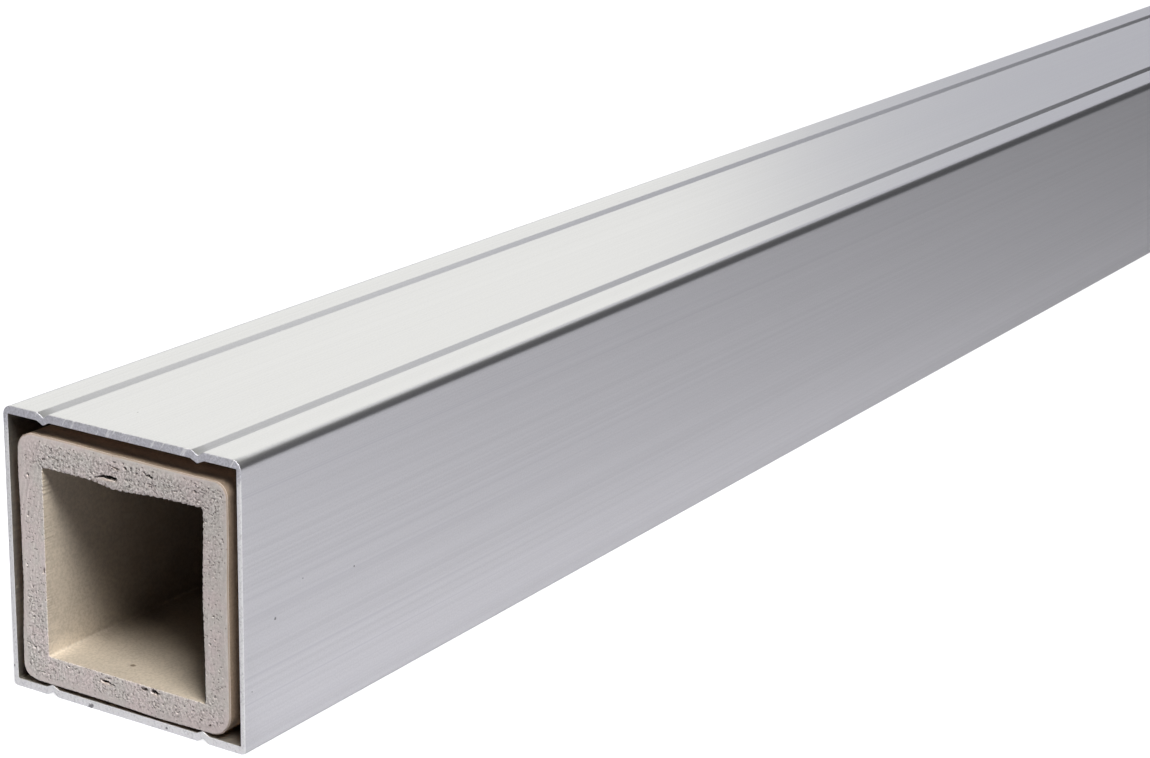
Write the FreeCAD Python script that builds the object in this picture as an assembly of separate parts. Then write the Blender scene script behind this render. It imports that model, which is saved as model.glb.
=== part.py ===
import FreeCAD, Part
import math
import os

# Square fence post: a thin extruded sleeve with a loose hollow core inside, both sawn off square.
# It lies on one of its two grooved faces. X runs along the post, Y across it and Z up, and the
# origin is on the ground, below the middle of the post. All sizes are in millimetres.

# Length of the post, shared by the sleeve and the core, whose cut ends are flush
post_length = 1000.0

# Section of the sleeve
sleeve_width = 70.0
sleeve_height = 70.0
plain_wall = 1.4
grooved_wall = 2.0
sleeve_corner = 2.0
sleeve_inner_corner = 0.3

# Grooves that mark the screw lines: two in the top wall and two in the bottom wall
groove_pitch = 45.5
groove_width = 3.4
groove_depth = 1.05
groove_shoulder = 0.9
groove_root = 0.3

# Ridge that each groove raises on the inside, where the wall follows the groove
groove_wall = 1.85
ridge_width = 3.8
ridge_foot = 0.8
ridge_tip = 0.5

# Room that the core has in the sleeve. It rests on the two bottom ridges, a little to the -Y side.
core_side_gap = 2.7
core_top_gap = 3.9
core_seat_gap = 0.1
core_side_shift = -0.1

# Walls of the core, and its outer corners, which left the die uneven: low and high, on the -Y and +Y sides
core_side_wall = 7.2
core_floor = 6.9
core_roof = 7.25
low_right_corner = 5.5
low_left_corner = 3.7
high_right_corner = 3.5
high_left_corner = 4.5

# Square bore of the core, whose roof has sunk: steeply on the +Y side of the sag's lowest line, and gently
# on its other side. The depth is that of the two slopes before their meeting is rounded.
bore_corner = 0.7
sag_shift = 1.6
sag_steep_reach = 9.5
sag_gentle_reach = 17.0
sag_depth = 1.1
sag_radius = 40.0

# Places that follow from the sizes above. A ridge's rounded tip lies a little below the point where its
# two slopes would meet, and the core's underside lies just above that tip.
groove_lines = (-groove_pitch / 2, groove_pitch / 2)
ridge_height = groove_depth + groove_wall - grooved_wall
ridge_half_angle = math.atan(ridge_width / 2 / ridge_height)
ridge_top = grooved_wall + ridge_height - ridge_tip * (1 / math.sin(ridge_half_angle) - 1)
core_width = sleeve_width - 2 * plain_wall - 2 * core_side_gap
core_right = core_side_shift - core_width / 2
core_left = core_side_shift + core_width / 2
core_underside = ridge_top + core_seat_gap
core_top = sleeve_height - grooved_wall - core_top_gap


def point(y, z):
    """Point of a section, in the plane of the cut end at -X."""
    return FreeCAD.Vector(-post_length / 2, y, z)


def rounded_outline(corners):
    """Closed wire with straight sides, turned by an arc of its own radius at each (y, z, radius) corner."""
    spots = [point(y, z) for y, z, radius in corners]
    arcs = []
    for i, (y, z, radius) in enumerate(corners):
        here = spots[i]
        back = (spots[i - 1] - here).normalize()
        ahead = (spots[(i + 1) % len(spots)] - here).normalize()
        half = back.getAngle(ahead) / 2
        inward = (back + ahead).normalize()
        start = here + back * (radius / math.tan(half))
        end = here + ahead * (radius / math.tan(half))
        middle = here + inward * (radius / math.sin(half) - radius)
        arcs.append((start, middle, end))
    edges = []
    for i, (start, middle, end) in enumerate(arcs):
        edges.append(Part.Arc(start, middle, end).toShape())
        edges.append(Part.makeLine(end, arcs[(i + 1) % len(arcs)][0]))
    return Part.Wire(edges)


def grooved_outline(half_width, low, high, corner, dip, dip_width, foot, tip):
    """Rectangle whose low and high sides both dip towards the middle of the post at each groove line."""
    low_side = []
    high_side = []
    for y in groove_lines:
        low_side += [
            (y - dip_width / 2, low, foot),
            (y, low + dip, tip),
            (y + dip_width / 2, low, foot),
        ]
        high_side += [
            (y - dip_width / 2, high, foot),
            (y, high - dip, tip),
            (y + dip_width / 2, high, foot),
        ]
    return rounded_outline(
        [(-half_width, low, corner)]
        + low_side
        + [(half_width, low, corner), (half_width, high, corner)]
        + high_side[::-1]
        + [(-half_width, high, corner)]
    )


def along_post(outer, inner):
    """Solid that carries the area between two wires from the cut end at -X to the one at +X."""
    face = Part.makeFace([outer, inner], "Part::FaceMakerBullseye")
    return face.extrude(FreeCAD.Vector(post_length, 0, 0))


def make_sleeve():
    """Sleeve with a thicker grooved wall above and below, and the grooves' ridges on its inside."""
    outer = grooved_outline(
        sleeve_width / 2,
        0.0,
        sleeve_height,
        sleeve_corner,
        groove_depth,
        groove_width,
        groove_shoulder,
        groove_root,
    )
    inner = grooved_outline(
        sleeve_width / 2 - plain_wall,
        grooved_wall,
        sleeve_height - grooved_wall,
        sleeve_inner_corner,
        ridge_height,
        ridge_width,
        ridge_foot,
        ridge_tip,
    )
    return along_post(outer, inner)


def make_core():
    """Hollow core with rounded outer corners, standing on the sleeve's bottom ridges."""
    outer = rounded_outline(
        [
            (core_right, core_underside, low_right_corner),
            (core_left, core_underside, low_left_corner),
            (core_left, core_top, high_left_corner),
            (core_right, core_top, high_right_corner),
        ]
    )
    floor = core_underside + core_floor
    roof = core_top - core_roof
    sag = core_side_shift + sag_shift
    bore = rounded_outline(
        [
            (core_right + core_side_wall, floor, bore_corner),
            (core_left - core_side_wall, floor, bore_corner),
            (core_left - core_side_wall, roof, bore_corner),
            (sag + sag_steep_reach, roof, sag_radius),
            (sag, roof - sag_depth, sag_radius),
            (sag - sag_gentle_reach, roof, sag_radius),
            (core_right + core_side_wall, roof, bore_corner),
        ]
    )
    return along_post(outer, bore)


pieces = {"outer_sleeve": make_sleeve(), "inner_core": make_core()}

os.makedirs("parts", exist_ok=True)
for node, solid in pieces.items():
    solid.exportStep("parts/" + node + ".step")
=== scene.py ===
import functools
import math

import bpy
import numpy as np
from bpy.props import FloatProperty, FloatVectorProperty, IntProperty, PointerProperty
from mathutils import Matrix, Vector


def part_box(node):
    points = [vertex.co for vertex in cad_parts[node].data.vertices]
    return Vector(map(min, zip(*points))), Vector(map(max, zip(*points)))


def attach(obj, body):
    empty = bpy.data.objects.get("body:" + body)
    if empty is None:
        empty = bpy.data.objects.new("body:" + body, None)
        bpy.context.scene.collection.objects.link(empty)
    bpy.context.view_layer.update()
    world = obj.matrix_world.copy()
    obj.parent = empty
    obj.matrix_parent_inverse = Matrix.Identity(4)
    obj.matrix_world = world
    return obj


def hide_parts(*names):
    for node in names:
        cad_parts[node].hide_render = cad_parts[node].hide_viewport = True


bl_info = {
    "name": "Square fence post",
    "version": (1, 0, 0),
    "blender": (4, 5, 0),
    "location": "3D View > Sidebar > Fence post",
    "description": "Grooved aluminium post sleeve around a loose foamed core, lying on a pale floor",
    "category": "Object",
}

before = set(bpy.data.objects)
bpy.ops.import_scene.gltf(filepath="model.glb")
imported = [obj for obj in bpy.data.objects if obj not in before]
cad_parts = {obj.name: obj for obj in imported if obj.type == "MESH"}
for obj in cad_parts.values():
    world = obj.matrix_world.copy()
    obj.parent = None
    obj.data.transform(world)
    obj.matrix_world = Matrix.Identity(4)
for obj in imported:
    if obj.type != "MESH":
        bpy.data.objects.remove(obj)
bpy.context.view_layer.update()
sleeve_low, sleeve_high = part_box("outer_sleeve")
core_low, core_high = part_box("inner_core")

MM = 0.001

# Hub of the saw blade that cut the ends, in the plane of a cut
SAW_HUB_Y = -62.5 * MM
SAW_HUB_Z = 27 * MM


# Settings that a user would change

LENGTH = {"unit": "LENGTH", "subtype": "DISTANCE"}
COLOUR = {"size": 3, "min": 0.0, "max": 1.0, "subtype": "COLOR"}
WATTS = {"min": 0.0, "max": 500.0}


class SleeveSettings(bpy.types.PropertyGroup):
    """Section and finish of the aluminium sleeve"""

    plain_wall: FloatProperty(
        name="Side wall", description="Thickness of the two plain walls",
        default=1.4 * MM, **LENGTH,
    )
    grooved_wall: FloatProperty(
        name="Grooved wall", description="Thickness of the two grooved walls",
        default=2.0 * MM, **LENGTH,
    )
    corner: FloatProperty(
        name="Upper corner", description="Radius of the two upper outer corners",
        default=2.4 * MM, **LENGTH,
    )
    low_corner: FloatProperty(
        name="Lower corner", description="Radius of the two lower outer corners",
        default=1.1 * MM, **LENGTH,
    )
    groove_pitch: FloatProperty(
        name="Groove pitch", description="Distance between the two grooves of a face",
        default=45.5 * MM, **LENGTH,
    )
    groove_width: FloatProperty(
        name="Groove width", description="Width of a groove at the face",
        default=3.4 * MM, **LENGTH,
    )
    groove_depth: FloatProperty(
        name="Groove depth", description="Depth of a groove before its root is rounded",
        default=1.05 * MM, **LENGTH,
    )
    groove_lean: FloatProperty(
        name="Groove lean", description="How far the top grooves' roots lean to the camera's side",
        default=0.25 * MM, **LENGTH,
    )
    ridge_width: FloatProperty(
        name="Ridge width", description="Width of the ridge that a groove raises inside",
        default=3.8 * MM, **LENGTH,
    )
    ridge_height: FloatProperty(
        name="Ridge height", description="Height of that ridge before its tip is rounded",
        default=0.9 * MM, **LENGTH,
    )
    colour: FloatVectorProperty(
        name="Metal", description="Colour of the extruded faces outside",
        default=(0.808, 0.807, 0.815), **COLOUR,
    )
    inner_colour: FloatVectorProperty(
        name="Inner metal", description="Colour of the dull extruded faces inside",
        default=(0.74, 0.7, 0.63), **COLOUR,
    )
    cut_colour: FloatVectorProperty(
        name="Cut metal", description="Colour of the sawn ends",
        default=(0.74, 0.74, 0.79), **COLOUR,
    )


class CoreSettings(bpy.types.PropertyGroup):
    """Section and finish of the foamed core"""

    side_wall: FloatProperty(
        name="Side wall", description="Thickness of the core's two upright walls",
        default=7.2 * MM, **LENGTH,
    )
    floor: FloatProperty(
        name="Floor", description="Thickness of the core's bottom wall",
        default=6.9 * MM, **LENGTH,
    )
    roof: FloatProperty(
        name="Roof", description="Thickness of the core's top wall beside its sag",
        default=7.25 * MM, **LENGTH,
    )
    sag: FloatProperty(
        name="Sag", description="How far the bore's roof has sunk",
        default=0.94 * MM, **LENGTH,
    )
    pits: IntProperty(
        name="Pits", description="Open bubbles in each sawn end",
        default=220, min=0, max=2000,
    )
    # Painted light and shade: the outer skin is painted lighter away from the cuts, where it lies in the
    # shade of the gap, and the bore's skin is painted darker away from the cuts, where the bore is in
    # shade.
    skin_colour: FloatVectorProperty(
        name="Outer skin", description="Colour of the extruded skin outside",
        default=(0.56, 0.37, 0.26), **COLOUR,
    )
    mouth_skin_colour: FloatVectorProperty(
        name="Dusty outer skin", description="Colour of that skin where saw dust lies on it, near the cuts",
        default=(0.28, 0.21, 0.155), **COLOUR,
    )
    bore_colour: FloatVectorProperty(
        name="Bore skin", description="Colour of the extruded skin in the bore",
        default=(0.32, 0.26, 0.2), **COLOUR,
    )
    mouth_bore_colour: FloatVectorProperty(
        name="Dusty bore skin", description="Colour of that skin where saw dust lies on it, near the cuts",
        default=(0.49, 0.425, 0.345), **COLOUR,
    )
    cut_colour: FloatVectorProperty(
        name="Sawn foam", description="Colour of the sawn ends",
        default=(0.71, 0.645, 0.622), **COLOUR,
    )


class StageSettings(bpy.types.PropertyGroup):
    """Camera, lamps and floor"""

    lens: FloatProperty(
        name="Lens", description="Focal length on a sensor 36 mm wide, in millimetres",
        default=84.85, min=10.0, max=500.0,
    )
    key_power: FloatProperty(
        name="Key lamp", description="Power of the lamp over the near end, in watts",
        default=8.0, **WATTS,
    )
    back_power: FloatProperty(
        name="Back lamp", description="Power of the wide lamp behind the post, in watts",
        default=5.64, **WATTS,
    )
    left_power: FloatProperty(
        name="Left lamp", description="Power of the wide lamp to the left of the post, in watts",
        default=5.8, **WATTS,
    )
    high_power: FloatProperty(
        name="High lamp", description="Power of the small lamp over the far end, in watts",
        default=0.63, **WATTS,
    )
    room_colour: FloatVectorProperty(
        name="Room", description="Colour of the dim room above the floor",
        default=(0.07, 0.07, 0.076), **COLOUR,
    )


# Objects, outlines and walls

def add_object(name, data):
    """Object in the scene, with its mesh, lamp or camera."""
    made = bpy.data.objects.new(name, data)
    bpy.context.scene.collection.objects.link(made)
    return made


def unit_rows(vectors):
    """Each row divided by its length."""
    return vectors / np.linalg.norm(vectors, axis=1, keepdims=True)


def rounded_outline(corners, steps, lead=0.3 * MM):
    """Closed outline through (y, z, radius) corners, as rows of (y, z).

    A corner's arc has its centre on the corner's bisector, at the radius over the sine of half the
    angle, and runs from one tangent point to the other by turning the first spoke into the second.
    Each straight side has a point shortly after one arc, one in its middle and one shortly before
    the next arc, so that the flats shade flat.
    """
    corners = np.array(corners, float)
    spot, radius = corners[:, :2], corners[:, 2:3]
    back = unit_rows(np.roll(spot, 1, 0) - spot)
    ahead = unit_rows(np.roll(spot, -1, 0) - spot)
    half = np.arccos((back * ahead).sum(1, keepdims=True)) / 2
    centre = spot + unit_rows(back + ahead) * radius / np.sin(half)
    first = spot + back * radius / np.tan(half) - centre
    last = spot + ahead * radius / np.tan(half) - centre
    sweep = (math.pi - 2 * half)[:, :, None]
    part = np.linspace(0, 1, steps + 1)[None, :, None]
    spoke = np.sin((1 - part) * sweep) * first[:, None] + np.sin(part * sweep) * last[:, None]
    arcs = centre[:, None] + spoke / np.sin(sweep)
    start, end = arcs[:, -1:], np.roll(arcs[:, :1], -1, 0)
    share = np.minimum(lead / np.linalg.norm(end - start, axis=2, keepdims=True), 0.25)
    shares = np.concatenate([share, np.full_like(share, 0.5), 1 - share], 1)
    return np.concatenate([arcs, start + (end - start) * shares], 1).reshape(-1, 2)


def four_sided(corners, count, steps=24):
    """Outline round four corners with count even points a side, each side from mid-arc to mid-arc.

    Two such outlines match point for point, however their corners are rounded: a point's place is its
    share of the way along its side.
    """
    # An arc has steps + 1 points and the straight side after it has three
    block = steps + 4
    dense = np.roll(rounded_outline(corners, steps), -(steps // 2), 0)
    dense = np.vstack([dense, dense[:1]])
    along = np.concatenate([[0], np.cumsum(np.linalg.norm(np.diff(dense, axis=0), axis=1))])
    marks = along[np.arange(5) * block]
    share = np.arange(count) / count
    wanted = (marks[:-1, None] + np.diff(marks)[:, None] * share).ravel()
    return np.stack([np.interp(wanted, along, dense[:, k]) for k in (0, 1)], 1)


def wall_grid(outer, inner, path):
    """Points of a hollow bar's wall on a grid: one row a ring of the path, one column a point round it.

    The path is rows of (x, share), where the share goes from 0 on the outer outline to 1 on the inner
    one. A ring's point is the outer outline's plus the share of its way to the inner outline's.
    """
    x, share = path[:, 0, None], path[:, 1, None, None]
    section = outer[None] + share * (inner - outer)[None]
    return np.concatenate([np.broadcast_to(x[..., None], section.shape[:2] + (1,)), section], 2)


def cut_rings(x, way, edges, thickness, count):
    """Rings across a cut from the outer skin to the inner one, as rows of (x, share).

    The way is 1 or -1, along X from the cut into the bar. Each of the two edges is a quarter circle of its
    own radius: after the angle t, the ring has moved by radius times (1 - cos t) across the wall and stands
    at radius times (1 - sin t) from the cut.
    """
    turn = np.linspace(0, math.pi / 2, 4)
    in_wall, from_cut = 1 - np.cos(turn), 1 - np.sin(turn)
    outer_edge, inner_edge = edges
    outer_share, inner_share = outer_edge / thickness, inner_edge / thickness
    outer_turn = np.stack([x + way * outer_edge * from_cut, outer_share * in_wall], 1)
    inner_turn = np.stack([x + way * inner_edge * from_cut, 1 - inner_share * in_wall], 1)
    across = np.stack([np.full(count, x), np.linspace(outer_share, 1 - inner_share, count)], 1)
    return np.concatenate([outer_turn[1:], across[1:-1], inner_turn[:0:-1]])


def wall_path(x_low, x_high, edges, thickness, near_rings, far_rings, depths):
    """Path of a hollow bar's rings, and how many rings each of its four parts has.

    It runs along the outer skin, across the far cut, back along the inner skin and across the near cut.
    The edges are the radii of a cut's outer and inner edge. Along a skin the rings stand at the given
    depths from either cut.
    """
    inside = np.concatenate([x_low + depths, x_high - depths[::-1]])
    out_x = np.concatenate([[x_low + edges[0]], inside, [x_high - edges[0]]])
    back_x = np.concatenate([[x_low + edges[1]], inside, [x_high - edges[1]]])[::-1]
    parts = [
        np.stack([out_x, np.zeros_like(out_x)], 1),
        cut_rings(x_high, -1, edges, thickness, far_rings),
        np.stack([back_x, np.ones_like(back_x)], 1),
        cut_rings(x_low, 1, edges, thickness, near_rings)[::-1],
    ]
    return np.concatenate(parts), [len(part) for part in parts]


def closed_piece(name, grid, counts, materials):
    """Object from a grid that closes both ways, with its quads facing outwards.

    The counts are of the rings in the outer skin, the far cut, the inner skin and the near cut, and the
    materials are those of the outer skin, the cuts and the inner skin. The quads that join a skin to a cut
    belong to the cut.
    """
    rings, around = grid.shape[:2]
    point = np.arange(rings * around).reshape(rings, around)
    beside, ahead = np.roll(point, -1, 1), np.roll(point, -1, 0)
    quads = np.stack([point, beside, np.roll(ahead, -1, 1), ahead], 2).reshape(-1, 4)
    out, far, back, near = counts
    slots = np.repeat([0, 1, 2, 1], [out - 1, far + 1, back - 1, near + 1])
    mesh = bpy.data.meshes.new(name)
    mesh.vertices.add(rings * around)
    mesh.vertices.foreach_set("co", grid.astype(np.float32).ravel())
    mesh.loops.add(quads.size)
    mesh.loops.foreach_set("vertex_index", quads.astype(np.int32).ravel())
    mesh.polygons.add(len(quads))
    mesh.polygons.foreach_set("loop_start", np.arange(0, quads.size, 4, dtype=np.int32))
    for material in materials:
        mesh.materials.append(material)
    mesh.polygons.foreach_set("material_index", np.repeat(slots, around).astype(np.int32))
    mesh.update(calc_edges=True)
    mesh.validate()
    mesh.shade_smooth()
    mesh.set_sharp_from_angle(angle=math.radians(35))
    return add_object(name, mesh)


def smooth_step(low, high, value):
    """0 below low, 1 above high, and an S curve between them."""
    share = np.clip((value - low) / (high - low), 0, 1)
    return share * share * (3 - 2 * share)


def ripple(value, wave, seed):
    """Smooth random curve of about -1 to 1: three octaves of three sines each, with random phases.

    An octave's sines are 1.9 times shorter and 1.7 times lower than the last one's.
    """
    draw = np.random.default_rng(seed)
    total = np.zeros_like(value)
    for k in range(3):
        for _ in range(3):
            length = wave / 1.9**k * draw.uniform(0.8, 1.25)
            total += np.sin(2 * math.pi * value / length + draw.uniform(0, 2 * math.pi)) / 1.7**k / 3
    return total


# Sleeve

# Radii of the section, at a groove's shoulders and root, a ridge's feet and tip, and the inner corners
GROOVE_SHOULDER = 0.9 * MM
GROOVE_ROOT = 0.3 * MM
RIDGE_FOOT = 0.8 * MM
RIDGE_TIP = 0.5 * MM
INNER_CORNER = 0.3 * MM

# Radii of a cut's outer and inner edge
SLEEVE_EDGES = (0.16 * MM, 0.08 * MM)

# How much thinner the wall on the camera's side is than the one opposite
THINNING = 0.2 * MM


def grooved_corners(half_width, low, high, low_corner, high_corner, pitch, dip, lean=0.0):
    """Corners of a rectangle whose low and high sides dip towards its middle at two lines, a pitch apart.

    A dip is its depth, its width and the radii at its shoulders and its root. The roots of the high side's
    dips lean to the right by the given length.
    """
    depth, width, shoulder, root = dip
    low_side, high_side = [], []
    for y in (-pitch / 2, pitch / 2):
        left, right = y - width / 2, y + width / 2
        low_side += [(left, low, shoulder), (y, low + depth, root), (right, low, shoulder)]
        high_side += [(left, high, shoulder), (y - lean, high - depth, root), (right, high, shoulder)]
    return (
        [(-half_width, low, low_corner)]
        + low_side
        + [(half_width, low, low_corner), (half_width, high, high_corner)]
        + high_side[::-1]
        + [(-half_width, high, high_corner)]
    )


def build_sleeve(settings):
    """Sleeve as one closed grid, from its outer and inner outlines and the path round its wall.

    The wall on the camera's side is a little thinner than the other, as the die left it.
    """
    half_width = (sleeve_high.y - sleeve_low.y) / 2
    wall = settings.grooved_wall
    groove = (settings.groove_depth, settings.groove_width, GROOVE_SHOULDER, GROOVE_ROOT)
    ridge = (settings.ridge_height, settings.ridge_width, RIDGE_FOOT, RIDGE_TIP)
    outside = grooved_corners(
        half_width, sleeve_low.z, sleeve_high.z, settings.low_corner, settings.corner,
        settings.groove_pitch, groove, settings.groove_lean,
    )
    inside = grooved_corners(
        half_width - settings.plain_wall, sleeve_low.z + wall, sleeve_high.z - wall,
        INNER_CORNER, INNER_CORNER, settings.groove_pitch, ridge,
    )
    outer = rounded_outline(outside, steps=8)
    inner = rounded_outline(inside, steps=8)
    inner[:, 0] -= THINNING * smooth_step(-32, -33.3, inner[:, 0] / MM)
    path, counts = wall_path(
        sleeve_low.x, sleeve_high.x, SLEEVE_EDGES, wall, near_rings=4, far_rings=4,
        depths=5 * MM * 2.5 ** np.arange(6),
    )
    return closed_piece(
        "aluminium_sleeve", wall_grid(outer, inner, path), counts,
        [sleeve_skin_material(settings), sleeve_cut_material(settings), sleeve_inside_material(settings)],
    )


# Core

# Radii of the outer corners, from the lower right one round to the upper right one, and of the bore's
CORE_CORNERS = (5.5 * MM, 3.7 * MM, 4.5 * MM, 3.5 * MM)
BORE_CORNERS = (0.7 * MM,) * 4

# Radii of a cut's outer and inner edge
CORE_EDGES = (0.4 * MM, 0.12 * MM)

# Tears in the near cut: y, z, length and height in millimetres, tilt in degrees, bias of the height
TEARS = (
    (4.1, 58.35, 6.6, 0.85, -6.0, -0.8),
    (1.4, 58.35, 1.3, 0.6, 38.0, 0.0),
    (-8.8, 61.2, 2.0, 0.65, 8.0, -0.2),
    (-7.5, 61.65, 1.3, 0.35, 32.0, 0.0),
    (1.1, 61.15, 2.2, 0.35, 7.0, -0.3),
    (2.7, 61.6, 0.7, 0.35, 20.0, 0.0),
    (-1.7, 61.65, 1.1, 0.6, 24.0, 0.0),
    (-8.9, 59.35, 1.0, 0.4, 0.0, 0.0),
    (-21.9, 60.4, 0.9, 0.4, 16.0, 0.0),
    (-22.0, 62.2, 0.6, 0.35, 0.0, 0.0),
    (21.5, 59.9, 0.7, 0.35, 15.0, 0.0),
    (20.0, 59.7, 0.5, 0.35, 0.0, 0.0),
    (18.7, 59.5, 0.6, 0.4, 20.0, 0.0),
    (17.3, 59.8, 0.6, 0.35, 0.0, 0.0),
    (-26.6, 31.8, 0.6, 0.5, 0.0, 0.0),
    (28.0, 54.2, 0.5, 0.8, 15.0, 0.0),
    (24.2, 31.1, 0.6, 1.5, 14.0, 0.0),
    (6.0, 7.9, 3.2, 0.75, 8.0, 0.1),
    (3.9, 7.6, 1.9, 0.35, 4.0, 0.3),
    (-5.6, 8.95, 2.0, 0.7, 6.0, -0.5),
    (-8.9, 8.95, 2.6, 0.95, -4.0, 0.4),
    (-9.4, 5.6, 0.7, 0.35, 0.0, 0.0),
    (-22.4, 5.6, 0.7, 0.4, 0.0, 0.0),
    (-24.9, 4.9, 0.6, 0.5, 0.0, 0.0),
)


def box_corners(right, left, low, high, radii):
    """Corners of a rectangle with their radii, from the lower right one round to the upper right one."""
    places = ((right, low), (left, low), (left, high), (right, high))
    return [(y, z, radius) for (y, z), radius in zip(places, radii)]


def bent_outlines(settings, count):
    """Outer and bore outlines of the core: rounded rectangles with the unevenness that the die left.

    Outside, the left side is pushed out low down and high up, the right side is drawn in except high up,
    the top rises to the left, and the bottom swells. In the bore, the roof sags, and the right side bulges
    in at half its height and leans out above.
    """
    right, left = core_low.y, core_high.y
    low, high = core_low.z, core_high.z
    wall = settings.side_wall
    outer = four_sided(box_corners(right, left, low, high, CORE_CORNERS), count)
    floor, roof = low + settings.floor, high - settings.roof
    bore = four_sided(box_corners(right + wall, left - wall, floor, roof, BORE_CORNERS), count)
    y, z = outer.T / MM
    side = outer.copy()
    side[:, 0] += MM * (0.75 * smooth_step(28, 10, z) + 0.3 * smooth_step(44, 58, z)) * (y > 29)
    side[:, 0] += MM * 0.25 * smooth_step(50, 40, z) * (y < -29)
    side[:, 1] += MM * (0.35 * smooth_step(0, 18, y) - 0.15 * smooth_step(-4, -14, y)) * (z > 60)
    side[:, 1] -= MM * 0.27 * np.exp(-(((y + 9) / 8) ** 2)) * (z < 5)
    y, z = bore.T / MM
    width = np.where(y > 1.6, 5.0, 9.5)
    bore[:, 1] -= settings.sag * np.exp(-(((y - 1.6) / width) ** 2)) * (z > 50)
    bore[:, 0] += MM * (0.3 * np.exp(-(((z - 35) / 9) ** 2)) - 0.25 * smooth_step(42, 54, z)) * (y < -23)
    return side, bore


def tear_depth(y, z):
    """Depth of the tears at points of a cut face, and a mask of the pale lip below each.

    Each is a lens that is deepest along its middle line. Along that line the lens is as high as the square
    root of 1 - s squared, leaning to one end by its bias, and across it the depth falls off with the square
    of the way to its lip. The pale lip is a soft bump that stands one height below the line.
    """
    depth = np.zeros_like(y)
    pale = np.zeros_like(y)
    for at_y, at_z, length, height, tilt, bias in TEARS:
        turn = math.radians(tilt)
        along = (y - at_y) * math.cos(turn) + (z - at_z) * math.sin(turn)
        across = (z - at_z) * math.cos(turn) - (y - at_y) * math.sin(turn)
        along, across = along / (length / 2), across / (height / 2)
        across = across + 0.25 * np.sin(along * 3.5 + at_y) + 0.12 * np.sin(along * 9 + at_z)
        lip = np.sqrt(np.clip(1 - along**2, 0, None)) * (1 + bias * along)
        inside = np.clip(1 - (across / np.maximum(lip, 1e-3)) ** 2, 0, 1) * (lip > 0.02)
        depth = np.maximum(depth, (0.7 + 2.2 * min(height, 1.0)) * inside**0.5)
        pale = np.maximum(pale, np.exp(-((along / 0.9) ** 2) - ((across + 1.5) / 0.6) ** 2) * (length > 2))
    return depth, pale


def foam_mask(y, z, share):
    """How open the foam is at points of a cut face, 0 to 1.

    Most in the middle of the top wall, then in the bottom left corner and the bottom wall. The right wall
    is the smoothest, and so is a band along the outer edge.
    """
    wall = 0.25 + 0.3 * smooth_step(36, 50, z) + 0.75 * smooth_step(55, 59, z)
    wall += 0.45 * smooth_step(14, 8, z)
    wall += 0.5 * smooth_step(16, 26, y) * smooth_step(34, 18, z)
    wall *= 1 - 0.6 * smooth_step(22, 27, y) * smooth_step(40, 50, z)
    band = smooth_step(0.05, 0.35, share) * smooth_step(1.15, 0.9, share)
    return np.clip(wall, 0, 1) * band


def pit_depth(y, z, foam, count, seed):
    """Depth of the open bubbles at points of a cut face: paraboloids round random centres.

    The bubbles crowd where the foam is open, and in clusters.
    """
    draw = np.random.default_rng(seed)
    depth = np.zeros_like(y)
    candidates = np.argsort(draw.random(y.size))
    flat_y, flat_z = y.ravel(), z.ravel()
    cluster = 0.5 + 0.5 * np.sin(flat_y * 0.9 + seed) * np.sin(flat_z * 1.7 + flat_y * 0.35)
    density = foam.ravel() * cluster
    chosen = candidates[draw.random(y.size) < density[candidates]][:count]
    radius = 0.17 + 0.16 * draw.random(len(chosen)) ** 3
    stretch = draw.uniform(0.8, 1.6, len(chosen))
    for at, size, wide in zip(chosen, radius, stretch):
        away = ((y - flat_y[at]) / (size * wide)) ** 2 + ((z - flat_z[at]) / size) ** 2
        depth = np.maximum(depth, 1.1 * size * np.clip(1 - away, 0, 1))
    return depth


def sawn_face(y, z, share, pits, seed, torn):
    """How deep the points of a cut face lie, in millimetres, and their cavity, foam and pale masks.

    A point lies as deep as the tear or bubble there, and a small wave deeper, which follows the distance
    from the saw blade's hub. Torn is 1 for a face that has tears and 0 for one without.
    """
    foam = foam_mask(y, z, share)
    tears, lips = tear_depth(y, z)
    flat = smooth_step(0.05, 0.09, share) * smooth_step(1.0, 0.98, share)
    depth = np.maximum(torn * tears, flat * pit_depth(y, z, foam, pits, seed))
    from_hub = np.hypot(y - SAW_HUB_Y / MM, z - SAW_HUB_Z / MM)
    wave = 0.02 * np.clip(1 + ripple(from_hub, 1.4, seed + 20), 0, None)
    # The mask of the tears' and bubbles' depth is painted dark in the material, a painted shade.
    return depth + wave, {"cavity_shade": np.clip(depth / 0.5, 0, 1), "foam": foam, "pale": torn * lips}


def sharpen_edge(grid, path, into, outer, round_share, wall):
    """Draw the rounding of the cuts' outer edge in towards its corner, where the edge is less round.

    Each point of its quarter circle comes to stand at the round share of its way from the corner.
    """
    reach = 1.01 * CORE_EDGES[0]
    edge = (path[:, 1] * wall < reach) & (into * MM < reach)
    cut_x = np.where(path[edge, 0] < 0, core_low.x, core_high.x)[:, None]
    grid[edge, :, 0] = cut_x + (grid[edge, :, 0] - cut_x) * round_share
    grid[edge, :, 1:] = outer + (grid[edge, :, 1:] - outer) * round_share[:, None]


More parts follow.
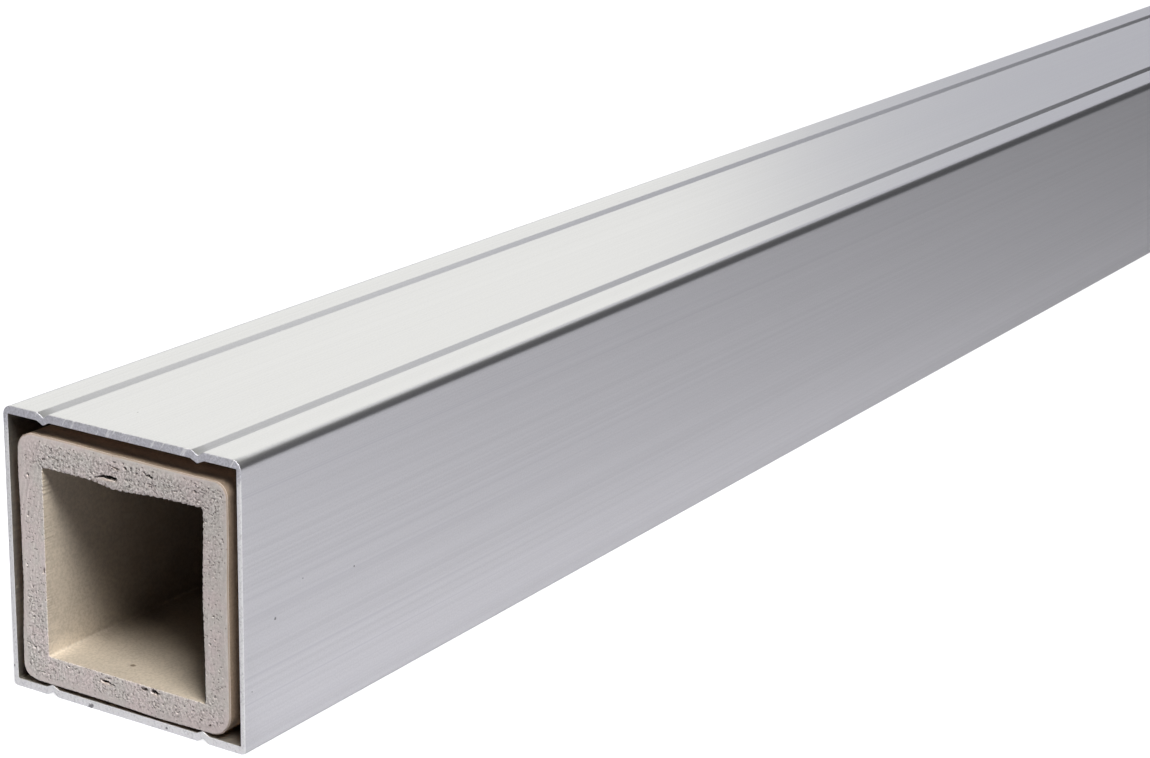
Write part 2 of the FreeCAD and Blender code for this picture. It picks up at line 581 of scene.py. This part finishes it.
def tear_rims(grid, path, into, outer, bore, round_share):
    """Rag the bore's rim and chip the outer edge, close to the cuts and along the way through the wall.

    The rag is two ripples and the peaks of a third, most at the roof and the right side. The chips are the
    peaks of a ripple, where the edge is less round.
    """
    # Way round the wall in millimetres, at 51 a side
    around = np.arange(len(outer)) * 51.0 / (len(outer) // 4)
    outwards = unit_rows(outer - bore)
    torn_side = np.maximum(bore[:, 1] > 50 * MM, 0.6 * (bore[:, 0] < -20 * MM))
    notches = np.clip(ripple(around, 1.7, 13), 0.2, 1.2) - 0.2
    rag = (0.07 + 0.06 * torn_side) * ripple(around, 2.3, 11) + 0.06 * ripple(around, 0.8, 12)
    rag = MM * (rag + (0.08 + 0.36 * torn_side) * notches)
    near_rim = smooth_step(0.8, 1.0, path[:, 1]) * smooth_step(2.0, 0.2, into)
    grid[:, :, 1:] += near_rim[:, None, None] * rag[:, None] * outwards
    chips = np.clip(ripple(around, 1.3, 17), 0.1, 1.2) - 0.1
    chips = MM * 0.35 * (1 - round_share) * chips
    near_edge = smooth_step(0.1, 0.0, path[:, 1]) * smooth_step(1.2, 0.1, into)
    grid[:, :, 1:] -= near_edge[:, None, None] * chips[:, None] * outwards


def build_core(settings):
    """Core as one closed grid: extruded skins, and two sawn faces with tears, bubbles and saw waves.

    The outer edge is rounded on the top and right sides, and sharp and chipped on the others. The skin is
    paler in the bore's lower left corner near the cuts. The masks that the materials read are kept as
    attributes of the points.
    """
    wall = settings.side_wall
    outer, bore = bent_outlines(settings, count=288)
    path, counts = wall_path(
        core_low.x, core_high.x, CORE_EDGES, wall, near_rings=46, far_rings=8,
        depths=0.4 * MM * 3.5 ** np.arange(5),
    )
    grid = wall_grid(outer, bore, path)
    into = np.minimum(path[:, 0] - core_low.x, core_high.x - path[:, 0]) / MM
    on_right = smooth_step(-22, -30, outer[:, 0] / MM)
    on_top = smooth_step(52, 62, outer[:, 1] / MM)
    round_share = 0.25 + 0.75 * np.maximum(on_right, on_top)
    sharpen_edge(grid, path, into, outer, round_share, wall)
    tear_rims(grid, path, into, outer, bore, round_share)
    far = slice(counts[0], counts[0] + counts[1])
    near = slice(sum(counts[:3]), None)
    masks = {name: np.zeros(grid.shape[:2]) for name in ("cavity_shade", "foam", "pale", "skin")}
    for rings, inward, seed, torn in ((near, 1, 5, 1), (far, -1, 6, 0)):
        y, z = grid[rings, :, 1] / MM, grid[rings, :, 2] / MM
        share = np.broadcast_to(path[rings, 1, None], y.shape)
        depth, face = sawn_face(y, z, share, settings.pits, seed, torn)
        grid[rings, :, 0] += inward * MM * depth
        face["skin"] = smooth_step(1.0, 0.1, share * wall / CORE_EDGES[0]) * (round_share > 0.6)
        for name, mask in face.items():
            masks[name][rings] = mask
    # The bore's skin is paler near its lower left corner, close to the cuts.
    from_corner = np.hypot(grid[:, :, 1] - bore[:, 0].max(), grid[:, :, 2] - bore[:, 1].min()) / MM
    masks["dust"] = smooth_step(5.5, 0.5, from_corner) * smooth_step(16, 5, into)[:, None]
    # The skins' colours change from near the cuts to deeper in: painted light on the outer skin, lighter
    # deep in its shaded gap, and painted shade in the bore, darker deep inside.
    brown, mouth_brown = settings.skin_colour, settings.mouth_skin_colour
    cream, mouth_cream = settings.bore_colour, settings.mouth_bore_colour
    piece = closed_piece(
        "foamed_core", grid, counts,
        [
            core_skin_material("brown_skin", brown, mouth_brown, start=2 * MM, reach=6 * MM),
            core_cut_material(settings),
            core_skin_material("cream_skin", cream, mouth_cream, start=4 * MM, reach=42 * MM),
        ],
    )
    for name, mask in masks.items():
        attribute = piece.data.attributes.new(name, "FLOAT", "POINT")
        attribute.data.foreach_set("value", mask.astype(np.float32).ravel())
    return piece


# Materials

# Single spots that the photograph shows, each as its place and its size
BORE_CRUMBS = [((sleeve_low.x + 7.35 * MM, 4.2 * MM, core_low.z + 6.9 * MM), 0.85 * MM)]
SIDE_SPECKS = [
    ((sleeve_low.x + from_cut * MM, sleeve_low.y, z * MM), size * MM)
    for from_cut, z, size in ((11.4, 29.5, 0.45), (21.6, 36.0, 0.22), (41.0, 32.8, 0.3), (2.8, 14.7, 0.2))
]
CUT_NICKS = [
    ((sleeve_low.x, y * MM, z * MM), size * MM)
    for y, z, size in ((11.1, 0.3, 0.8), (10.5, 0.8, 0.55), (-12.1, 0.9, 0.4), (34.9, 5.0, 0.45))
]


class Tree:
    """Node tree under construction, with short ways to add the nodes that the finishes use."""

    def __init__(self, tree):
        self.tree = tree

    def feed(self, socket, value):
        """Give a socket another node's output, or else a constant, where a colour is three numbers."""
        if isinstance(value, bpy.types.NodeSocket):
            self.tree.links.new(value, socket)
        elif socket.type == "RGBA":
            socket.default_value = (*value, 1.0)
        else:
            socket.default_value = value

    def add(self, kind, inputs=None, **settings):
        """New node of a kind with its settings, its inputs fed with outputs or constants."""
        node = self.tree.nodes.new(kind)
        for name, value in settings.items():
            setattr(node, name, value)
        for key, value in (inputs or {}).items():
            self.feed(node.inputs[key], value)
        return node

    def maths(self, operation, *values):
        """Result of a Math node of one or two values."""
        return self.add("ShaderNodeMath", dict(enumerate(values)), operation=operation).outputs[0]

    def ramp(self, factor, low, high):
        """Colour ramp between two stops, each a place and a grey or a colour."""
        node = self.add("ShaderNodeValToRGB", {0: factor})
        for element, (place, colour) in zip(node.color_ramp.elements, (low, high)):
            element.position = place
            element.color = (*colour, 1.0) if isinstance(colour, tuple) else (colour, colour, colour, 1.0)
        return node.outputs[0]

    def spread(self, value, low, high, first, last, curve="LINEAR"):
        """Value between low and high, spread between first and last."""
        inputs = {"Value": value, "From Min": low, "From Max": high, "To Min": first, "To Max": last}
        return self.add("ShaderNodeMapRange", inputs, interpolation_type=curve).outputs[0]

    def mix(self, factor, first, second, blend="MIX"):
        """Mix of two colours by a factor."""
        inputs = {0: factor, 6: first, 7: second}
        return self.add("ShaderNodeMix", inputs, data_type="RGBA", blend_type=blend).outputs[2]

    def times(self, first, second):
        """Product of two colours."""
        return self.mix(1.0, first, second, "MULTIPLY")

    def axes(self, place):
        """The x, y and z of a place."""
        return self.add("ShaderNodeSeparateXYZ", {0: place}).outputs

    def noise(self, place, scale, detail=2.0, roughness=0.5):
        """Noise read at a place."""
        inputs = {"Vector": place, "Scale": scale, "Detail": detail, "Roughness": roughness}
        return self.add("ShaderNodeTexNoise", inputs).outputs[0]

    def cells(self, place, scale):
        """Distance from the nearest of scattered points, and that point's random number."""
        node = self.add("ShaderNodeTexVoronoi", {"Vector": place, "Scale": scale})
        chance = self.add("ShaderNodeSeparateColor", {0: node.outputs["Color"]}).outputs[0]
        return node.outputs["Distance"], chance

    def attribute(self, name):
        """Mask that the mesh keeps at its points."""
        return self.add("ShaderNodeAttribute", attribute_name=name).outputs["Fac"]

    def group(self, group, place, **values):
        """Outputs of a group that is read at a place, with the material's own values."""
        return self.add("ShaderNodeGroup", {"Vector": place, **values}, node_tree=group).outputs


def node_group(name, inputs, outputs):
    """Turn a function that fills a group's tree into one that returns the group, built when first used.

    An input is given as its default number, or as None where it is a vector, and each output is a number.
    The function gets the tree and the group's inputs, and returns the outputs' values in order.
    """
    def wrap(fill):
        @functools.wraps(fill)
        def group():
            if name in bpy.data.node_groups:
                return bpy.data.node_groups[name]
            made = bpy.data.node_groups.new(name, "ShaderNodeTree")
            for label, value in inputs.items():
                kind = "NodeSocketVector" if value is None else "NodeSocketFloat"
                socket = made.interface.new_socket(label, in_out="INPUT", socket_type=kind)
                if value is not None:
                    socket.default_value = value
            for label in outputs:
                made.interface.new_socket(label, in_out="OUTPUT", socket_type="NodeSocketFloat")
            tree = Tree(made)
            source = tree.add("NodeGroupInput")
            result = tree.add("NodeGroupOutput")
            for label, output in zip(outputs, fill(tree, source.outputs)):
                tree.feed(result.inputs[label], output)
            return made
        return group
    return wrap


@node_group("Die lines", {"Vector": None, "Fineness": 1000.0}, ["Lines", "Bands"])
def die_lines_group(tree, source):
    """Fine lines and broad bands that a die leaves along the post: noise stretched 833-fold along X."""
    inputs = {0: source["Vector"], 1: (0.0012, 1.0, 1.0)}
    stretched = tree.add("ShaderNodeVectorMath", inputs, operation="MULTIPLY").outputs[0]
    fine = tree.noise(stretched, source["Fineness"], 3.0, 0.7)
    broad = tree.noise(stretched, tree.maths("MULTIPLY", source["Fineness"], 0.16), 2.0, 0.6)
    return fine, broad


@node_group("Saw marks", {"Vector": None, "Fineness": 900.0}, ["Arcs", "Patches"])
def saw_marks_group(tree, source):
    """Arcs that a saw blade leaves on a cut, and broad patches.

    The arcs are noise read by the distance from the blade's hub, which is smeared along the arc because it
    reads only a little of the angle.
    """
    x, y, z = tree.axes(source["Vector"])
    y = tree.maths("SUBTRACT", y, SAW_HUB_Y)
    z = tree.maths("SUBTRACT", z, SAW_HUB_Z)
    squares = tree.maths("ADD", tree.maths("MULTIPLY", y, y), tree.maths("MULTIPLY", z, z))
    radius = tree.maths("SQRT", squares)
    angle = tree.maths("MULTIPLY", tree.maths("ARCTAN2", z, y), 0.004)
    arc = tree.add("ShaderNodeCombineXYZ", {0: radius, 1: angle, 2: x}).outputs[0]
    lines = tree.noise(arc, source["Fineness"], 4.0, 0.75)
    patches = tree.noise(source["Vector"], 120.0, 3.0, 0.6)
    return lines, patches


@node_group("Near the mouth", {"Vector": None, "Start": 8 * MM, "Reach": 50 * MM}, ["Near"])
def mouth_group(tree, source):
    """How near a point is to a cut end: 1 up to the start and falling to 0 at the reach, along X."""
    off_middle = tree.maths("ABSOLUTE", tree.axes(source["Vector"])[0])
    depth = tree.maths("SUBTRACT", sleeve_high.x, off_middle)
    return [tree.spread(depth, source["Start"], source["Reach"], 1.0, 0.0, "SMOOTHSTEP")]


@node_group("Specks", {"Vector": None, "Fineness": 60.0, "Size": 0.02, "Share": 0.3}, ["Specks"])
def specks_group(tree, source):
    """Small specks, few and far apart: the middle of a cell whose random number is under the share."""
    distance, chance = tree.cells(source["Vector"], source["Fineness"])
    shape = tree.noise(source["Vector"], 2500.0, 1.0)
    ragged = tree.maths("MULTIPLY", distance, tree.maths("ADD", shape, 0.5))
    near = tree.spread(ragged, source["Size"], 0.0, 0.0, 1.0, "SMOOTHSTEP")
    return [tree.maths("MULTIPLY", near, tree.maths("LESS_THAN", chance, source["Share"]))]


@node_group("Spot", {"Vector": None, "Place": None, "Size": 0.5 * MM}, ["Spot"])
def spot_group(tree, source):
    """One spot: 1 at a place and falling to 0 at its size, with a ragged edge from noise."""
    inputs = {0: source["Vector"], 1: source["Place"]}
    away = tree.add("ShaderNodeVectorMath", inputs, operation="DISTANCE").outputs["Value"]
    ragged = tree.maths("MULTIPLY", away, tree.maths("ADD", tree.noise(source["Vector"], 1300.0), 0.5))
    near = tree.spread(ragged, source["Size"], 0.0, 0.0, 2.0)
    return [tree.maths("MINIMUM", near, 1.0)]


@node_group("Scratches", {"Vector": None, "Fineness": 500.0}, ["Scratches"])
def scratches_group(tree, source):
    """Straight scratches that slant across a cut: noise that is stretched along their direction."""
    vector = source["Vector"]
    across, along = (
        tree.add("ShaderNodeVectorMath", {0: vector, 1: way}, operation="DOT_PRODUCT").outputs["Value"]
        for way in ((0.0, 0.83, 0.55), (0.0, -0.07, 0.1))
    )
    spot = tree.add("ShaderNodeCombineXYZ", {0: across, 1: along}).outputs[0]
    return [tree.noise(spot, source["Fineness"], 3.0, 0.6)]


def start_material(name):
    """New material, its tree and the Object coordinates of its piece."""
    material = bpy.data.materials.new(name)
    material.use_nodes = True
    tree = Tree(material.node_tree)
    return material, tree, tree.add("ShaderNodeTexCoord").outputs["Object"]


def finished(material, tree, colour, roughness, metal, relief):
    """Material whose shader has its colour, roughness, share of metal and relief.

    The relief is a height, the strength of the bumps that it makes and their depth.
    """
    height, strength, depth = relief
    bump = tree.add("ShaderNodeBump", {"Height": height, "Strength": strength, "Distance": depth})
    shader = material.node_tree.nodes["Principled BSDF"]
    tree.feed(shader.inputs["Base Color"], colour)
    tree.feed(shader.inputs["Roughness"], roughness)
    tree.feed(shader.inputs["Metallic"], metal)
    tree.feed(shader.inputs["Normal"], bump.outputs[0])
    return material


def with_spots(tree, mask, place, spots):
    """Mask with single spots added to it."""
    for spot, size in spots:
        mask = tree.maths("MAXIMUM", mask, tree.group(spot_group(), place, Place=spot, Size=size)[0])
    return mask


def tinted(colour, *factors):
    """Colour times one factor, or times one factor a channel."""
    factors = factors * 3 if len(factors) == 1 else factors
    return tuple(c * k for c, k in zip(colour, factors))


def sleeve_skin_material(settings):
    """Satin extruded aluminium with lines and bands along the post, and specks.

    Its lines are clearest on the sides near the cuts, and along its lowest edges it is painted a little
    darker, a painted shade for the floor's shadow that it reflects.
    """
    material, tree, place = start_material("extruded_aluminium")
    base = settings.colour
    lines = tree.group(die_lines_group(), place, Fineness=1300.0)
    scores = tree.group(die_lines_group(), place, Fineness=520.0)
    near = tree.group(mouth_group(), place, Start=60 * MM, Reach=420 * MM)[0]
    z = tree.axes(place)[2]
    worn = tree.maths("MULTIPLY", near, tree.maths("LESS_THAN", z, sleeve_high.z - 0.5 * MM))
    score = tree.maths("MULTIPLY", tree.ramp(scores["Lines"], (0.61, 0.0), (0.65, 1.0)), worn)
    rubbed = tree.ramp(lines["Lines"], (0.36, 0.925), (0.64, 1.0))
    plain = tree.ramp(lines["Lines"], (0.36, 0.95), (0.64, 1.0))
    etching = tree.ramp(tree.noise(place, 2200.0, 1.0), (0.35, 0.96), (0.65, 1.025))
    # Painted shade: darker along the lowest few millimetres, for the floor's contact shadow reflected in
    # the metal.
    shaded_low = tree.times(base, tree.spread(z, 2.5 * MM, 6 * MM, 0.92, 1.0))
    grain = tree.times(tree.times(shaded_low, tree.mix(worn, plain, rubbed)), etching)
    bands = tree.ramp(lines["Bands"], (0.3, 0.25), (0.7, 0.0))
    banded = tree.mix(bands, grain, tinted(base, 0.94, 0.94, 0.95))
    scored = tree.mix(score, banded, tinted(base, 0.9, 0.9, 0.91))
    specks = tree.group(specks_group(), place, Fineness=45.0, Size=0.014, Share=0.35)[0]
    colour = tree.mix(with_spots(tree, specks, place, SIDE_SPECKS), scored, tinted(base, 0.3))
    rough = tree.spread(lines["Bands"], 0.3, 0.7, 0.3, 0.335)
    height = tree.maths("SUBTRACT", lines["Lines"], tree.maths("MULTIPLY", score, 0.4))
    return finished(material, tree, colour, rough, 1.0, (height, 0.1, 0.015 * MM))


def sleeve_inside_material(settings):
    """Dull mill finish of the sleeve's inside, with lines and pale specks.

    It has painted shade: it is darker away from the cuts, deeper into the dim gap, and towards the corners
    on its side walls.
    """
    material, tree, place = start_material("inner_aluminium")
    base = settings.inner_colour
    lines = tree.group(die_lines_group(), place, Fineness=1200.0)["Lines"]
    near = tree.group(mouth_group(), place, Start=1 * MM, Reach=25 * MM)[0]
    grain = tree.mix(tree.ramp(lines, (0.3, 0.0), (0.7, 1.0)), tinted(base, 0.8), base)
    _, y, z = tree.axes(place)
    middle = 33 * MM
    off_middle = tree.maths("ABSOLUTE", tree.maths("SUBTRACT", z, middle))
    # Painted shade: the side walls darken towards their corners.
    corners = tree.spread(off_middle, 17 * MM, 31 * MM, 1.0, 0.5)
    on_side = tree.maths("GREATER_THAN", tree.maths("ABSOLUTE", y), sleeve_high.y - 2 * MM)
    dim = tree.mix(on_side, grain, tree.times(grain, corners))
    # Painted shade: darker away from the cuts, deeper into the dim gap.
    deep = tree.mix(near, tinted(base, 0.6), dim)
    specks = tree.group(specks_group(), place, Fineness=160.0, Size=0.12, Share=0.3)[0]
    colour = tree.mix(specks, deep, tinted(base, 1.5))
    return finished(material, tree, colour, 0.5, 1.0, (lines, 0.3, 0.03 * MM))


def sleeve_cut_material(settings):
    """Sawn aluminium: bright on three walls and painted darker on the top wall, a painted shade, with
    scratches and dark nicks.
    """
    material, tree, place = start_material("sawn_aluminium")
    base = settings.cut_colour
    bright = tinted(base, 1.35, 1.35, 1.27)
    arcs = tree.group(saw_marks_group(), place, Fineness=700.0)["Arcs"]
    mottle = tree.noise(place, 1600.0, 3.0, 0.7)
    z = tree.axes(place)[2]
    # Painted shade: the top wall's cut is darker than the other three walls.
    on_top = tree.spread(z, 63 * MM, 67.5 * MM, 0.0, 1.0, "SMOOTHSTEP")
    wall = tree.mix(on_top, bright, tinted(base, 0.99, 0.99, 0.98))
    mottled = tree.times(wall, tree.ramp(mottle, (0.35, 0.86), (0.65, 1.12)))
    streaked = tree.times(mottled, tree.ramp(arcs, (0.35, 0.93), (0.65, 1.06)))
    scratches = tree.group(scratches_group(), place, Fineness=520.0)[0]
    scratched = tree.mix(tree.ramp(scratches, (0.58, 0.0), (0.63, 0.75)), streaked, bright)
    specks = tree.group(specks_group(), place, Fineness=150.0, Size=0.1, Share=0.2)[0]
    nicks = tree.maths("MULTIPLY", with_spots(tree, specks, place, CUT_NICKS), 0.8)
    colour = tree.mix(nicks, scratched, tinted(base, 0.3))
    return finished(material, tree, colour, 0.7, 1.0, (tree.maths("ADD", mottle, arcs), 0.5, 0.06 * MM))


def core_skin_material(name, deep_colour, mouth_colour, start, reach):
    """Extruded skin of the core: smooth and finely mottled, with one colour near the cuts and another
    deeper in, and paler in a corner. The change between the two is painted light and shade: the outer skin
    is lighter deep in its shaded gap, and the bore's skin is darker deep in the shaded bore.
    """
    material, tree, place = start_material(name)
    near = tree.group(mouth_group(), place, Start=start, Reach=reach)[0]
    bands = tree.group(die_lines_group(), place, Fineness=300.0)["Bands"]
    clouds = tree.noise(place, 90.0, 4.0, 0.6)
    grain = tree.noise(place, 1500.0, 2.0, 0.6)
    # Painted light and shade: the colour changes from near the cuts to deeper in, lighter in the shaded gap
    # outside and darker in the shaded bore.
    skin = tree.mix(tree.attribute("dust"), tree.mix(near, deep_colour, mouth_colour), tinted(mouth_colour, 1.3))
    cloudy = tree.times(skin, tree.ramp(clouds, (0.35, 0.92), (0.65, 1.04)))
    lined = tree.times(cloudy, tree.ramp(bands, (0.35, 0.97), (0.65, 1.0)))
    mottled = tree.times(lined, tree.ramp(grain, (0.38, 0.86), (0.6, 1.04)))
    specks = tree.group(specks_group(), place, Fineness=55.0, Size=0.035, Share=0.3)[0]
    dirt = with_spots(tree, specks, place, BORE_CRUMBS)
    colour = tree.mix(dirt, mottled, tinted(mouth_colour, 0.3, 0.26, 0.22))
    return finished(material, tree, colour, 0.6, 0.0, (grain, 0.25, 0.04 * MM))


def core_cut_material(settings):
    """Sawn foam: grey-beige with painted shade, darker towards the right and towards the top, streaked by
    the saw, grainy and pitted where it is open, with painted shade in its pores, tears and bubbles.
    """
    material, tree, place = start_material("sawn_foam")
    base = settings.cut_colour
    foam, cavity_shade, pale, skin = (tree.attribute(name) for name in ("foam", "cavity_shade", "pale", "skin"))
    marks = tree.group(saw_marks_group(), place, Fineness=900.0)
    grain = tree.noise(place, 1500.0, 2.0, 0.65)
    contrast = tree.maths("ADD", tree.maths("MULTIPLY", foam, 0.8), 0.12)
    clusters = tree.ramp(tree.noise(place, 320.0), (0.38, 0.12), (0.6, 1.0))
    crowd = tree.maths("MULTIPLY", tree.maths("ADD", tree.maths("MULTIPLY", foam, 0.75), 0.02), clusters)
    distance, chance = tree.cells(place, 1500.0)
    open_cell = tree.maths("LESS_THAN", chance, crowd)
    pore = tree.maths("MULTIPLY", tree.ramp(distance, (0.12, 1.0), (0.45, 0.0)), open_cell)
    _, y, z = tree.axes(place)
    # Painted shade: the foam is darker towards the right and towards the top of the cut, where less light
    # falls on it.
    across = tree.spread(y, -31 * MM, 31 * MM, 0.855, 1.055)
    shade_towards_top = tree.spread(z, 6 * MM, 62 * MM, 1.08, 0.95)
    dense = tree.times(base, tree.maths("MULTIPLY", across, shade_towards_top))
    tint = tree.ramp(marks["Patches"], (0.4, (1.02, 0.985, 0.985)), (0.6, (0.975, 1.0, 0.975)))
    patchy = tree.times(dense, tint)
    grains = tree.ramp(grain, (0.36, (0.62, 0.61, 0.6)), (0.64, (1.25, 1.28, 1.3)))
    grainy = tree.mix(contrast, patchy, tree.times(patchy, grains))
    streaked = tree.times(grainy, tree.ramp(marks["Arcs"], (0.32, 0.91), (0.68, 1.09)))
    # Painted shade: the pores are painted dark, as the shade in them.
    pitted = tree.mix(tree.maths("MULTIPLY", pore, 0.75), streaked, tinted(base, 0.36, 0.33, 0.31))
    warmed = tree.mix(tree.maths("MULTIPLY", pale, 0.6), pitted, tinted(base, 1.1, 1.0, 0.86))
    skinned = tree.mix(skin, warmed, settings.mouth_skin_colour)
    # Painted shade: the tears and bubbles are painted nearly black by their depth, as the shade in them.
    colour = tree.mix(tree.ramp(cavity_shade, (0.2, 0.0), (0.9, 0.9)), skinned, (0.05, 0.038, 0.03))
    holes = tree.maths("MULTIPLY", tree.maths("SUBTRACT", grain, pore), contrast)
    height = tree.maths("ADD", holes, tree.maths("MULTIPLY", marks["Arcs"], 0.3))
    return finished(material, tree, colour, 0.85, 0.0, (height, 1.0, 0.3 * MM))


# Stage

# Camera's place from the near end, and its heading, dip and roll in degrees
CAMERA_FROM_END = (-434.544 * MM, -390.846 * MM, 262.196 * MM)
CAMERA_TURNS = (31.9189, 17.1368, 1.2546)

# Floor's colour, its glow for the camera, the share of that glow that mirrors see, and half its width
FLOOR_COLOUR = (0.394, 0.395, 0.433)
FLOOR_GLOW = 0.9
MIRRORED_SHARE = 0.1
FLOOR_REACH = 6.0


def floor_material():
    """Matt pale surface, raised to white by emission that lights nothing.

    The camera sees the whole of the emission. Mirroring and clear surfaces see a small share of it, so that
    metal shows the floor as the lamps light it.
    """
    material = bpy.data.materials.new("pale_floor")
    material.use_nodes = True
    tree = Tree(material.node_tree)
    material.node_tree.nodes.remove(material.node_tree.nodes["Principled BSDF"])
    matt = tree.add("ShaderNodeBsdfDiffuse", {"Color": FLOOR_COLOUR})
    ray = tree.add("ShaderNodeLightPath").outputs
    mirrored = tree.maths("MAXIMUM", ray["Is Glossy Ray"], ray["Is Transmission Ray"])
    seen = tree.maths("MAXIMUM", ray["Is Camera Ray"], tree.maths("MULTIPLY", mirrored, MIRRORED_SHARE))
    light = tree.add("ShaderNodeEmission", {"Strength": tree.maths("MULTIPLY", seen, FLOOR_GLOW)})
    both = tree.add("ShaderNodeAddShader", {0: matt.outputs[0], 1: light.outputs[0]})
    tree.feed(material.node_tree.nodes["Material Output"].inputs["Surface"], both.outputs[0])
    return material


def build_floor():
    """One flat square that reaches equally far to all sides."""
    mesh = bpy.data.meshes.new("floor")
    corners = [(FLOOR_REACH * x, FLOOR_REACH * y, 0) for x, y in ((-1, -1), (1, -1), (1, 1), (-1, 1))]
    mesh.from_pydata(corners, [], [(0, 1, 2, 3)])
    mesh.materials.append(floor_material())
    sheet = add_object("floor", mesh)


def area_lamp(name, target, azimuth, elevation, distance, size, power, colour, spread=180.0):
    """Rectangular soft lamp that faces a target from a direction and distance, angles in degrees."""
    turn, rise = math.radians(azimuth), math.radians(elevation)
    away = Vector((math.cos(turn) * math.cos(rise), math.sin(turn) * math.cos(rise), math.sin(rise)))
    data = bpy.data.lights.new(name, "AREA")
    data.shape = "RECTANGLE"
    data.size, data.size_y = size
    data.energy = power
    data.color = colour
    data.spread = math.radians(spread)
    lamp = add_object(name, data)
    lamp.location = target + away * distance
    lamp.rotation_mode = "QUATERNION"
    lamp.rotation_quaternion = (-away).to_track_quat("-Z", "Y")


def build_camera(settings):
    """Camera where the photograph was taken from: beside the near end, looking along the post and down."""
    data = bpy.data.cameras.new("photo_camera")
    data.sensor_width = 36.0
    data.lens = settings.lens
    data.clip_start = 0.01
    camera = add_object("photo_camera", data)
    x, y, z = CAMERA_FROM_END
    heading, dip, roll = (math.radians(turn) for turn in CAMERA_TURNS)
    camera.matrix_world = (
        Matrix.Translation((sleeve_low.x + x, y, z))
        @ Matrix.Rotation(heading - math.pi / 2, 4, "Z")
        @ Matrix.Rotation(math.pi / 2 - dip, 4, "X")
        @ Matrix.Rotation(roll, 4, "Z")
    )
    bpy.context.scene.camera = camera


def build_stage(settings):
    """Pale floor, a soft key lamp over the near end, three wide lamps behind the post and a dim room."""
    build_floor()
    near = Vector((sleeve_low.x + 30 * MM, -20 * MM, 20 * MM))
    middle = Vector((sleeve_low.x + 200 * MM, 0, 50 * MM))
    key_colour = (1.0, 0.985, 0.952)
    area_lamp("key_lamp", near, 238.7, 55, 1.127, (0.41, 0.41), settings.key_power, key_colour, 119)
    area_lamp("back_lamp", middle, 39.2, 27.4, 1.6, (2.055, 1.74), settings.back_power, (0.905, 0.914, 1.0))
    area_lamp("left_lamp", middle, 65.0, 31.2, 1.7, (2.65, 1.32), settings.left_power, (1.0, 0.99, 0.82))
    area_lamp("high_lamp", middle, 1.0, 52.6, 1.5, (0.795, 0.865), settings.high_power, (1.0, 1.0, 0.9))
    world = bpy.data.worlds.new("room")
    world.use_nodes = True
    world.node_tree.nodes["Background"].inputs["Color"].default_value = (*settings.room_colour, 1.0)
    bpy.context.scene.world = world
    bpy.context.scene.view_settings.view_transform = "Standard"


# Operators and panel

class POST_OT_sleeve(bpy.types.Operator):
    """Make the aluminium sleeve in place of its plain solid"""

    bl_idname = "post.sleeve"
    bl_label = "Aluminium sleeve"

    def execute(self, context):
        piece = build_sleeve(context.scene.post_sleeve)
        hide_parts("outer_sleeve")
        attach(piece, "root")
        return {"FINISHED"}


class POST_OT_core(bpy.types.Operator):
    """Make the foamed core in place of its plain solid"""

    bl_idname = "post.core"
    bl_label = "Foamed core"

    def execute(self, context):
        piece = build_core(context.scene.post_core)
        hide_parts("inner_core")
        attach(piece, "root")
        return {"FINISHED"}


class POST_OT_stage(bpy.types.Operator):
    """Make the camera, floor, lamps and room"""

    bl_idname = "post.stage"
    bl_label = "Stage"

    def execute(self, context):
        build_camera(context.scene.post_stage)
        build_stage(context.scene.post_stage)
        return {"FINISHED"}


class POST_PT_panel(bpy.types.Panel):
    """Fence post tools in the sidebar"""

    bl_idname = "POST_PT_panel"
    bl_label = "Fence post"
    bl_space_type = "VIEW_3D"
    bl_region_type = "UI"
    bl_category = "Fence post"

    def draw(self, context):
        layout = self.layout
        for settings, operator in (
            (context.scene.post_sleeve, POST_OT_sleeve),
            (context.scene.post_core, POST_OT_core),
            (context.scene.post_stage, POST_OT_stage),
        ):
            box = layout.box()
            for name in settings.__annotations__:
                box.prop(settings, name)
            box.operator(operator.bl_idname)


CLASSES = (
    SleeveSettings,
    CoreSettings,
    StageSettings,
    POST_OT_sleeve,
    POST_OT_core,
    POST_OT_stage,
    POST_PT_panel,
)


def register():
    """Register the classes and give the scene their settings."""
    for item in CLASSES:
        bpy.utils.register_class(item)
    bpy.types.Scene.post_sleeve = PointerProperty(type=SleeveSettings)
    bpy.types.Scene.post_core = PointerProperty(type=CoreSettings)
    bpy.types.Scene.post_stage = PointerProperty(type=StageSettings)


def unregister():
    """Take the settings and the classes away again."""
    del bpy.types.Scene.post_stage
    del bpy.types.Scene.post_core
    del bpy.types.Scene.post_sleeve
    for item in reversed(CLASSES):
        bpy.utils.unregister_class(item)


def main():
    register()
    bpy.ops.post.stage()
    bpy.ops.post.sleeve()
    bpy.ops.post.core()


if __name__ == "__main__":
    main()
